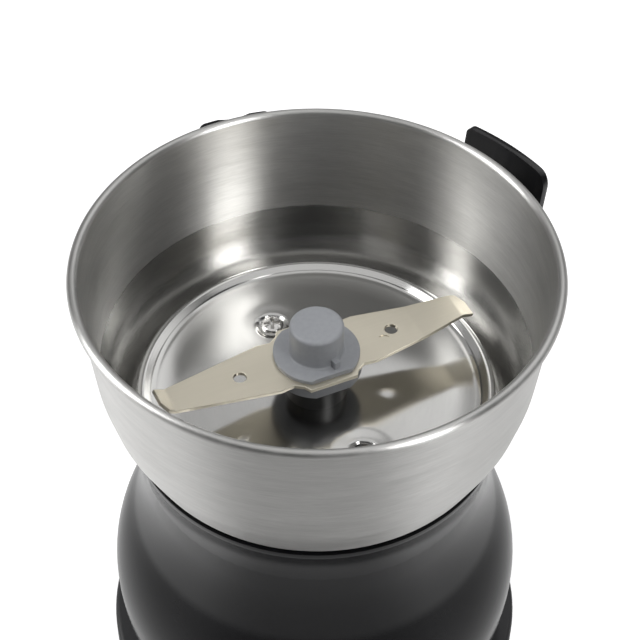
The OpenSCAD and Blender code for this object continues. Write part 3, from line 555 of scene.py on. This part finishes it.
def sheet_outline(path, half):
    """Both faces of a sheet round its middle, with rounded ends, as one closed loop."""
    sides = []
    for i, p in enumerate(path):
        a, b = path[max(i - 1, 0)], path[min(i + 1, len(path) - 1)]
        dx, dz = b[0] - a[0], b[1] - a[1]
        length = math.hypot(dx, dz)
        sides.append((-dz / length * half, dx / length * half))
    upper = [(p[0] + s[0], p[1] + s[1]) for p, s in zip(path, sides)]
    lower = [(p[0] - s[0], p[1] - s[1]) for p, s in zip(path, sides)]
    last, turn = path[-1], math.degrees(math.atan2(sides[-1][1], sides[-1][0]))
    cap = arc(last, half, turn, turn - 180, 8)[1:-1]
    return upper + cap + lower[::-1]


def spun_recipe():
    """Turns the host's outline about Z and presses two dimples into the floor."""
    tree = Recipe("spun_sheet", {"Steps": "Int", "Dimple Depth": "Float",
                                 "Dimple Radius": "Float", "Dimple Reach": "Float",
                                 "Dimple Angle": "Float", "Material": "Material"})
    outline = tree.given("Geometry")
    count = tree.node("GeometryNodeAttributeDomainSize", {"component": "MESH"}, (outline,))
    grid = tree.node("GeometryNodeMeshGrid", None,
                     {"Vertices X": tree.given("Steps") + 1.0, "Vertices Y": count})
    index = tree.node("GeometryNodeInputIndex")
    down = index % count
    turn = index.maths("FLOOR", index / count + 0.0001) / tree.given("Steps") * (2 * math.pi)
    place = tree.node("GeometryNodeInputPosition")
    sampled = tree.node("GeometryNodeSampleIndex", {"data_type": "FLOAT_VECTOR"},
                        {"Geometry": outline, "Value": place, "Index": down})
    out, _, height = tree.split(sampled)
    x, y = out * tree.cosine(turn), out * tree.sine(turn)
    reach, angle = tree.given("Dimple Reach"), tree.given("Dimple Angle")
    away = [((x - reach * sign * tree.cosine(angle)) ** 2.0
             + (y - reach * sign * tree.sine(angle)) ** 2.0) ** 0.5 for sign in (1.0, -1.0)]
    near = away[0].maths("MINIMUM", away[0], away[1])
    rim = tree.given("Dimple Radius")
    press = (tree.between(near, rim, rim - 0.0009) * 0.7
             + tree.between(near, rim + 0.0035, rim) * 0.3) * tree.given("Dimple Depth")
    shaped = tree.node("GeometryNodeSetPosition", None,
                       {"Geometry": grid, "Position": tree.vector(x, y, height - press)})
    closed = tree.node("GeometryNodeMergeByDistance", None,
                       {"Geometry": shaped, "Distance": 0.000002})
    soft = tree.node("GeometryNodeSetShadeSmooth", None, (closed,))
    tree.finish(soft)
    return tree


def bowl_shell(settings, material):
    """The bowl: its sheet turned about Z, with two dimples for the screws."""
    loop = [(x * MM, 0.0, z * MM) for x, z in sheet_outline(sheet_middle(), SHEET / 2)]
    loop.append(loop[0])
    mesh = bpy.data.meshes.new("bowl_outline")
    mesh.from_pydata(loop, [(i, i + 1) for i in range(len(loop) - 1)], [])
    piece = spun_recipe().run(link("bowl_outline", mesh), "bowl_shell", {
        "Steps": settings.steps, "Dimple Depth": settings.dimple,
        "Dimple Radius": settings.dimple_radius, "Dimple Reach": 21 * MM,
        "Dimple Angle": math.radians(76), "Material": material})
    work = bmesh.new()
    work.from_mesh(piece.data)
    bmesh.ops.recalc_face_normals(work, faces=work.faces)
    work.to_mesh(piece.data)
    work.free()
    smooth(piece, 50)
    return coat(piece, material, "bowl_steel", "base", "bowl")


# ---- Screws ------------------------------------------------------------------------

def ring_recipe():
    """Copies the host's piece round a circle, each turned a little differently."""
    tree = Recipe("ring_of_screws", {"Count": "Int", "Circle Radius": "Float",
                                     "Start Angle": "Float", "Height": "Float",
                                     "Upside Down": "Float", "Twist": "Float", "Seed": "Int",
                                     "Material": "Material"})
    points = tree.node("GeometryNodePoints", None, {"Count": tree.given("Count")})
    index = tree.node("GeometryNodeInputIndex")
    angle = index * (2 * math.pi) / tree.given("Count") + tree.given("Start Angle")
    reach = tree.given("Circle Radius")
    placed = tree.node("GeometryNodeSetPosition", None, {
        "Geometry": points,
        "Position": tree.vector(reach * tree.cosine(angle), reach * tree.sine(angle),
                                tree.given("Height"))})
    twist = tree.node("FunctionNodeRandomValue", {"data_type": "FLOAT"},
                      {"Min": 0.0, "Max": 1.0, "ID": index, "Seed": tree.given("Seed")}, out=1)
    turned = tree.node("FunctionNodeEulerToRotation", None, (
        tree.vector(tree.given("Upside Down") * math.pi, 0.0, twist * tree.given("Twist")),))
    copies = tree.node("GeometryNodeInstanceOnPoints", None,
                       {"Points": placed, "Instance": tree.given("Geometry"),
                        "Rotation": turned})
    tree.finish(copies)
    return tree


def turned(name, profile, steps):
    """A solid turned about Z from (radius, height) points."""
    work = bmesh.new()
    rings = [[work.verts.new((r * math.cos(2 * math.pi * j / steps),
                              r * math.sin(2 * math.pi * j / steps), z)) for j in range(steps)]
             for r, z in profile]
    return skinned(name, work, rings)


def wedge(name, low, high, bottom, top):
    """A four-sided plug from half sizes low at its bottom to half sizes high at its top."""
    work = bmesh.new()
    corners = [(-1, -1), (1, -1), (1, 1), (-1, 1)]
    rings = [[work.verts.new((x * half[0], y * half[1], z)) for x, y in corners]
             for half, z in ((low, bottom), (high, top))]
    return skinned(name, work, rings)


def cut_by(piece, *tools, way="DIFFERENCE"):
    """The piece with other solids cut out of it or added; all of them are used up."""
    name = piece.name
    for tool in tools:
        cut = piece.modifiers.new("cut", "BOOLEAN")
        cut.object = tool
        cut.operation = way
        cut.solver = "EXACT"
    piece = settled(piece, name)
    for tool in tools:
        bpy.data.objects.remove(tool)
    return piece


def screw_head(name, radius, height):
    """A pan head on its seat at z = 0, with a cross recess and softened edges."""
    side = height * 0.42
    crown = [(radius * math.cos(t), side + (height - side) * math.sin(t))
             for t in (math.pi / 2 * (i / 9) ** 0.8 for i in range(9))]
    head = turned(name, [(radius * 0.94, 0), (radius, radius * 0.06)] + crown, 64)
    low, high = height * 0.30, height * 1.15
    head = cut_by(head, *(wedge("recess", (radius * long * 0.62, radius * wide * 0.62),
                                (radius * long, radius * wide), low, high)
                          for long, wide in ((0.80, 0.17), (0.17, 0.80))))
    edge = head.modifiers.new("soft", "BEVEL")
    edge.width = radius * 0.03
    edge.segments = 2
    edge.angle_limit = math.radians(38)
    return smooth(settled(head, name), 40)


def screws(name, radius, height, count, circle, start, at, down, material, *nodes):
    """A ring of screw heads that stands for the screws' solids."""
    head = screw_head(name + "_one", radius, height)
    piece = ring_recipe().run(head, name, {
        "Count": count, "Circle Radius": circle, "Start Angle": math.radians(start),
        "Height": at, "Upside Down": 1.0 if down else 0.0, "Twist": 1.3, "Seed": 4,
        "Material": material})
    return coat(smooth(piece, 40), material, "plated_steel", "base", *nodes)


# ---- Housing -----------------------------------------------------------------------

def collar(start, end, fade, core, steps=240):
    """The ring under the bowl, from one angle to another, in millimetres and degrees. It
    widens upwards, and over the last fade degrees at both ends it sinks to the core radius."""
    foot, top, neck, widening = 65.0, 79.3, 38.4, 2.1
    flare = [(neck + widening * (i / 26) ** 2, foot + 0.5 * i) for i in range(27)]
    outline = [(37.2, top), (37.0, foot)] + flare + [(40.6, 78.5), (40.6, top)]
    work = bmesh.new()
    rings = []
    for j in range(steps + 1):
        degrees = start + (end - start) * j / steps
        share = min(1, (degrees - start) / fade, (end - degrees) / fade)
        share = share * share * (3 - 2 * share)
        turn = math.radians(degrees)
        ring = [(min(r, core + (r - core) * share), z) for r, z in outline]
        rings.append([work.verts.new((r * math.cos(turn) * MM, r * math.sin(turn) * MM, z * MM))
                      for r, z in ring])
    return skinned("collar", work, rings)


def housing_moulding(material):
    """The housing with smooth curves and a collar that widens under the bowl. The collar stays
    clear of the tower and the guide arm."""
    piece = cut_by(copied("housing", "housing_moulding"), collar(86, 335, 14, 38.0),
                   way="UNION")
    return coat(smooth(piece, 32), material, "housing_black", "base", "housing")


# ---- Pin spring --------------------------------------------------------------------

def pin_coil(material):
    """The wound spring under the pin's collar; its top end is pushed down by the pin."""
    lean = math.radians(6.5)
    up = Vector((math.sin(lean), 0, math.cos(lean)))
    out = Vector((math.cos(lean), 0, -math.sin(lean)))
    side = Vector((0, 1, 0))
    foot = Vector((46.16, 0, 72.3))
    length, radius, wire = 4.15, 1.9, 0.2
    turns, flat, rise = 4.3, 0.75, 0.28
    steps, sides = 150, 10

    def height(turn):
        if turn < flat:
            return rise * turn / flat
        if turn > turns - flat:
            return length - rise * (turns - turn) / flat
        return rise + (length - 2 * rise) * (turn - flat) / (turns - 2 * flat)

    line = []
    for i in range(steps + 1):
        turn = turns * i / steps
        spoke = out * math.cos(2 * math.pi * turn) + side * math.sin(2 * math.pi * turn)
        line.append((foot + spoke * radius + up * height(turn), spoke))
    work = bmesh.new()
    rings = []
    for i, (centre, spoke) in enumerate(line):
        ahead = (line[min(i + 1, steps)][0] - line[max(i - 1, 0)][0]).normalized()
        across = ahead.cross(spoke).normalized()
        rings.append([])
        for j in range(sides):
            a = 2 * math.pi * j / sides
            place = centre + (spoke * math.cos(a) + across * math.sin(a)) * wire
            rings[-1].append(work.verts.new(place * MM))
    piece = smooth(skinned("pin_coil", work, rings), 50)
    piece.data.materials.append(material)
    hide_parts("pin_spring")
    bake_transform(piece)
    return piece


# ---- Blade -------------------------------------------------------------------------

BLADE = {"span": 73.0, "root": 14.0, "tip": 6.6, "t": 0.9, "z": 95.7, "turn": -18.0,
         "lift": 5.5, "up": 33.0, "down": 24.0, "tip_l": 3.4, "fold_u": 23.0}


def wing_outline():
    """Plan of one wing, from the square centre to the clipped tip, in millimetres."""
    root, tip, end = BLADE["root"] / 2, BLADE["tip"] / 2, BLADE["span"] / 2
    fold = end - BLADE["tip_l"]
    return [(0, -9.3), (5.3, -9.3), (6.2, -7.8), (8, -6.7), (11, -root), (fold, -tip),
            (end - 0.4, 0.5 - tip), (end - 0.5, tip - 2.1), (end - 2, tip - 0.1), (fold, tip),
            (11, root), (8, 6.7), (6.2, 7.8), (5.3, 9.3)]


def fold_place(u):
    """Where the blade's middle line is at a distance along it, and its slope."""
    end = BLADE["span"] / 2
    fold = end - BLADE["tip_l"]
    bends = [(-fold, -BLADE["up"]), (BLADE["fold_u"], BLADE["lift"]),
             (fold, -BLADE["lift"] - BLADE["down"])]
    step = 0.05
    x = z = at = slope = 0.0
    sign = 1 if u > 0 else -1
    while abs(at) < abs(u):
        move = min(step, abs(u) - abs(at)) * sign
        mid = at + move / 2
        slope = 0.0
        for where, angle in bends:
            if where * sign > 0:
                slope += angle * min(1.0, max(0.0, abs(mid) - abs(where) + 0.5))
        x += move * math.cos(math.radians(slope))
        z += move * math.sin(math.radians(slope))
        at += move
    return x, z, math.radians(slope)


def stamp():
    """A small curved plug that marks one wing."""
    work = bmesh.new()
    inner = arc((14.8, -2.4), 1.1, 20, 120, 12)
    outer = arc((14.8, -2.4), 1.45, 20, 120, 12)
    low, high = (BLADE["t"] / 2 - 0.15) * MM, 1 * MM
    rows = [[work.verts.new((x * MM, y * MM, z)) for x, y in line]
            for line, z in ((inner, low), (outer, low), (outer, high), (inner, high))]
    for a, b in zip(rows, rows[1:] + rows[:1]):
        for i in range(len(a) - 1):
            work.faces.new((a[i], a[i + 1], b[i + 1], b[i]))
    for end in (0, -1):
        work.faces.new([row[end] for row in rows])
    return from_bmesh("stamp", work)


def blade_wings(settings, material):
    """The blade cut from sheet, marked, and folded at its bends."""
    half = wing_outline()
    ground = settings.ground_edge * 0.6
    curve = bpy.data.curves.new("blade_plan", "CURVE")
    curve.dimensions = "2D"
    curve.fill_mode = "BOTH"
    curve.extrude = BLADE["t"] / 2 * MM - ground
    curve.bevel_depth = ground
    curve.bevel_resolution = 1
    curve.offset = -ground

    def add(points):
        spline = curve.splines.new("POLY")
        spline.points.add(len(points) - 1)
        for point, (x, y) in zip(spline.points, points):
            point.co = (x * MM, y * MM, 0.0, 1.0)
        spline.use_cyclic_u = True

    add(half + [(-x, -y) for x, y in half])
    add(arc((0, 0), 3.05, 0, 350, 35))
    for side in (-1, 1):
        add(arc((side * 17.5, 0), 1.4, 0, 345, 23))
    flat = settled(link("blade_plan", curve), "blade_sheet")
    work = bmesh.new()
    work.from_mesh(flat.data)
    bpy.data.objects.remove(flat)
    flat = cut_by(from_bmesh("blade_sheet", work), stamp())
    work = bmesh.new()
    work.from_mesh(flat.data)
    bpy.data.objects.remove(flat)
    end = BLADE["span"] / 2
    fold = end - BLADE["tip_l"]
    for where in (-fold, BLADE["fold_u"], fold):
        for shift in (-0.5, -0.25, 0.0, 0.25, 0.5):
            bmesh.ops.bisect_plane(work, geom=work.verts[:] + work.edges[:] + work.faces[:],
                                   plane_co=((where + shift) * MM, 0, 0), plane_no=(1, 0, 0),
                                   dist=1e-7)
    turn = Matrix.Rotation(math.radians(BLADE["turn"]), 4, "Z")
    for vert in work.verts:
        x, z, slope = fold_place(vert.co.x / MM)
        rise = vert.co.z / MM
        vert.co = turn @ Vector(((x - rise * math.sin(slope)) * MM, vert.co.y,
                                 (BLADE["z"] - BLADE["t"] / 2 + z + rise * math.cos(slope)) * MM))
    piece = smooth(from_bmesh("blade_wings", work), 20)
    return coat(piece, material, "blade_steel", "rotor", "blade")


# ---- Operators ---------------------------------------------------------------------

class GRINDER_OT_bowl(bpy.types.Operator):
    """Spins the steel bowl and sets its screws, gasket and seal"""
    bl_idname = "grinder.bowl"
    bl_label = "Bowl"

    def execute(self, context):
        settings = context.scene.grinder.bowl
        bowl_shell(settings, bowl_steel(settings))
        plated = metal("plated_steel", (0.72, 0.71, 0.69), 0.16)
        screws("bowl_screw_heads", 2.65 * MM, 1.75 * MM, 2, 21 * MM, 76, 84.15 * MM, False, plated,
               "bowl_screws")
        screws("cover_screw_heads", 2.6 * MM, 1.5 * MM, 3, 35.2 * MM, 30, 3.95 * MM, True, plated,
               "cover_screws")
        dress(plated, "tower_screws", "guide_arm_screw", "clamp_screws", "motor_screws")
        dress(moulded("seal_rubber", (0.012, 0.012, 0.012), 0.42, grain=0.00002), "shaft_seal",
              "bowl_gasket")
        return {"FINISHED"}


class GRINDER_OT_blade(bpy.types.Operator):
    """Cuts and folds the blade and moulds its hub"""
    bl_idname = "grinder.blade"
    bl_label = "Blade"

    def execute(self, context):
        settings = context.scene.grinder.blade
        blade_wings(settings, blade_steel(settings, math.radians(BLADE["turn"])))
        hub = moulded("hub_grey", tuple(settings.hub_grey), 0.42, grain=0.00001, spread=0.05)
        softened("hub_cap", "hub_knob", 0.18 * MM, hub, "hub_grey", sharp=32)
        carrier = moulded("carrier_grey", tuple(c * 0.8 for c in settings.hub_grey), 0.45,
                          spread=0.05)
        softened("blade_carrier", "hub_carrier", 0.15 * MM, carrier, "carrier_grey", sharp=32)
        return {"FINISHED"}


class GRINDER_OT_body(bpy.types.Operator):
    """Finishes the black mouldings, the feet and the cord inlet"""
    bl_idname = "grinder.body"
    bl_label = "Housing"

    def execute(self, context):
        settings = context.scene.grinder.body
        gloss = two_tone("gloss_black", tuple(settings.gloss_black), 49.6 * MM, (0.16, 0.38),
                         (0.19, 0.16))
        tower = moulded("tower_black", tuple(settings.gloss_black), 0.22, grain=0.000006,
                        scale=700.0, spread=0.15)
        base = moulded("base_black", tuple(settings.base_black), 0.45, grain=0.00002)
        housing_moulding(gloss)
        softened("switch_tower", "switch_tower_moulding", settings.edge, tower, "tower_black")
        softened("lid_guide_arm", "guide_arm_moulding", settings.edge, tower, "tower_black")
        softened("bottom_cover", "base_moulding", 0.2 * MM, base, "base_black")
        softened("cord_gland", "cord_inlet", 0.3 * MM, base, "base_black")
        dress(moulded("foot_rubber", (0.035, 0.035, 0.036), 0.75, grain=0.00004, scale=1500.0),
              "feet", "motor_cushions")
        dress(moulded("clamp_nylon", (0.35, 0.34, 0.31), 0.5), "cord_clamp", "thrust_washers")
        return {"FINISHED"}


class GRINDER_OT_switch(bpy.types.Operator):
    """Finishes the safety pin, its spring and the small switch"""
    bl_idname = "grinder.switch"
    bl_label = "Safety switch"

    def execute(self, context):
        dress(moulded("pin_acetal", (0.70, 0.69, 0.65), 0.4), "safety_pin")
        spring = metal("spring_steel", (0.66, 0.66, 0.67), 0.25)
        pin_coil(spring)
        dress(spring, "switch_lever", "brush_spring_left", "brush_spring_right", "fan_clip")
        dress(moulded("switch_resin", (0.03, 0.03, 0.033), 0.5), "microswitch")
        dress(moulded("plunger_red", (0.45, 0.04, 0.03), 0.3), "switch_plunger")
        dress(metal("brass_stampings", (0.75, 0.56, 0.24), 0.3), "switch_terminals",
              "brush_holders")
        return {"FINISHED"}


class GRINDER_OT_motor(bpy.types.Operator):
    """Finishes the motor's parts"""
    bl_idname = "grinder.motor"
    bl_label = "Motor"

    def execute(self, context):
        dress(laminated("lamination_steel", (0.34, 0.35, 0.37)), "stator_stack", "armature_core")
        dress(wound("copper_wire", (0.50, 0.20, 0.07)), "field_coils", "armature_winding")
        dress(metal("bracket_alloy", (0.60, 0.61, 0.62), 0.45, depth=0.00004), "upper_bracket")
        dress(moulded("bracket_resin", (0.05, 0.045, 0.04), 0.55), "lower_bracket")
        dress(metal("sintered_bronze", (0.50, 0.34, 0.15), 0.5, (900.0, 900.0, 900.0),
                    depth=0.00004), "upper_bush", "lower_bush")
        dress(metal("ground_shaft", (0.70, 0.70, 0.71), 0.2, (60.0, 60.0, 2500.0)),
              "motor_shaft")
        dress(metal("copper_bars", (0.72, 0.38, 0.20), 0.3, (200.0, 200.0, 2000.0)),
              "commutator")
        dress(moulded("pressed_carbon", (0.04, 0.04, 0.045), 0.6, grain=0.00003),
              "brush_left", "brush_right")
        dress(moulded("fan_nylon", (0.70, 0.69, 0.66), 0.45), "cooling_fan")
        return {"FINISHED"}


class GRINDER_OT_stage(bpy.types.Operator):
    """Sets the floor, the lights, the world and the camera"""
    bl_idname = "grinder.stage"
    bl_label = "Stage"

    def execute(self, context):
        settings = context.scene.grinder.stage
        build_stage(context.scene, settings)
        return {"FINISHED"}


def build_stage(scene, settings):
    """A pale floor, three soft panels, a bright room and the camera."""
    work = bmesh.new()
    bmesh.ops.create_grid(work, x_segments=1, y_segments=1, size=4.0)
    floor = from_bmesh("floor", work)
    paint = Paint("pale_floor")
    ray = paint.node("ShaderNodeLightPath", out="Is Camera Ray")
    glossy = ray.other("Is Glossy Ray")
    # For glossy rays the floor is painted darker in front of the object (painted shade) and glows
    # away from the front (painted light); camera rays see it evenly white.
    front = paint.between((paint.x * LOOK[0] + paint.y * LOOK[1]) / paint.radius(),
                          -0.45, -0.95)
    cloth = paint.node("ShaderNodeBsdfDiffuse", None,
                       {"Color": (1.0 - glossy * front * 0.12) * settings.floor})
    glow = paint.node("ShaderNodeEmission", None,
                      {"Color": ray * 0.75 + glossy * (1.0 - front) * settings.sides})
    both = paint.node("ShaderNodeAddShader", None, (cloth, glow))
    floor.data.materials.append(paint.finish(both))

    world = bpy.data.worlds.new("soft_studio")
    scene.world = world
    world.use_nodes = True
    sky = Tree(world.node_tree)
    sky.tree.nodes.clear()
    east, north, up = sky.split(sky.node("ShaderNodeTexCoord", out="Generated"))
    ray = sky.node("ShaderNodeLightPath", out="Is Camera Ray")
    seen = ray.maths("MAXIMUM", ray, ray.other("Is Transmission Ray"))
    behind = east * LOOK[0] + north * LOOK[1]
    across = east * LOOK[1] - north * LOOK[0]
    backdrop = (sky.between(behind, -0.1, 0.5) * sky.between(up, 0.95, 0.75)
                * sky.between(up, 0.45, 0.62) * sky.between(across, -0.15, 0.15, 0.45, 1.2))
    glossed = 0.06 + backdrop * settings.backdrop + sky.between(up, 0.30, 0.02) * 0.30
    glow = sky.node("ShaderNodeBackground", None, {"Color": glossed * (1.0 - seen) + seen})
    end = sky.tree.nodes.new("ShaderNodeOutputWorld")
    sky.tree.links.new(glow.socket, end.inputs["Surface"])

    add_light("left_softbox", settings.key, 0.34, 0.70, around(133, 36, 0.70))
    add_light("right_softbox", settings.fill, 0.22, 0.60, around(-88, 34, 0.70))
    add_light("top_softbox", settings.top, 0.90, 0.90, around(47, 88, 0.80))

    camera = bpy.data.cameras.new("camera")
    camera.lens = settings.lens
    camera.sensor_width = 36.0
    camera.clip_start = 0.01
    made = link("camera", camera)
    level, drop, roll = 0.699, -0.715, math.radians(0.6)
    right = Vector((LOOK[1], -LOOK[0], 0.0)).normalized()
    ahead = Vector((LOOK[0] * level, LOOK[1] * level, drop)).normalized()
    turn = Matrix((right, right.cross(ahead), -ahead)).transposed().to_4x4()
    made.matrix_world = (Matrix.Translation((-0.1615, -0.1766, 0.3504)) @ turn
                         @ Matrix.Rotation(roll, 4, "Z"))
    scene.camera = made
    scene.view_settings.view_transform = "Standard"


def around(azimuth, elevation, distance):
    """A place above the bowl, by its direction and distance."""
    turn, lift = math.radians(azimuth), math.radians(elevation)
    return Vector((math.cos(turn) * math.cos(lift), math.sin(turn) * math.cos(lift),
                   math.sin(lift))) * distance + Vector((0, 0, 0.1))


def add_light(name, power, width, height, place):
    """A soft panel that faces the bowl."""
    lamp = bpy.data.lights.new(name, "AREA")
    lamp.energy = power
    lamp.shape = "ELLIPSE"
    lamp.size = width
    lamp.size_y = height
    made = link(name, lamp)
    made.location = place
    made.rotation_euler = (Vector((0, 0, 0.1)) - place).to_track_quat("-Z", "Y").to_euler()
    return made


class GRINDER_PT_panel(bpy.types.Panel):
    """Lists the grinder's pieces and their settings"""
    bl_idname = "GRINDER_PT_panel"
    bl_label = "Spice grinder"
    bl_space_type = "VIEW_3D"
    bl_region_type = "UI"
    bl_category = "Grinder"

    def draw(self, context):
        settings = context.scene.grinder
        for step, group in (("bowl", "bowl"), ("blade", "blade"), ("body", "body"),
                            ("switch", None), ("motor", None), ("stage", "stage")):
            box = self.layout.box()
            box.operator("grinder." + step)
            if group:
                values = getattr(settings, group)
                for key in values.__annotations__:
                    box.prop(values, key)


CLASSES = (BowlSettings, BladeSettings, BodySettings, StageSettings, GrinderSettings,
           GRINDER_OT_bowl, GRINDER_OT_blade, GRINDER_OT_body, GRINDER_OT_switch,
           GRINDER_OT_motor, GRINDER_OT_stage, GRINDER_PT_panel)


def register():
    for entry in CLASSES:
        bpy.utils.register_class(entry)
    bpy.types.Scene.grinder = bpy.props.PointerProperty(type=GrinderSettings)


def unregister():
    del bpy.types.Scene.grinder
    for entry in reversed(CLASSES):
        bpy.utils.unregister_class(entry)


def main():
    register()
    bpy.ops.grinder.bowl()
    bpy.ops.grinder.blade()
    bpy.ops.grinder.body()
    bpy.ops.grinder.switch()
    bpy.ops.grinder.motor()
    bpy.ops.grinder.stage()


if __name__ == "__main__":
    main()
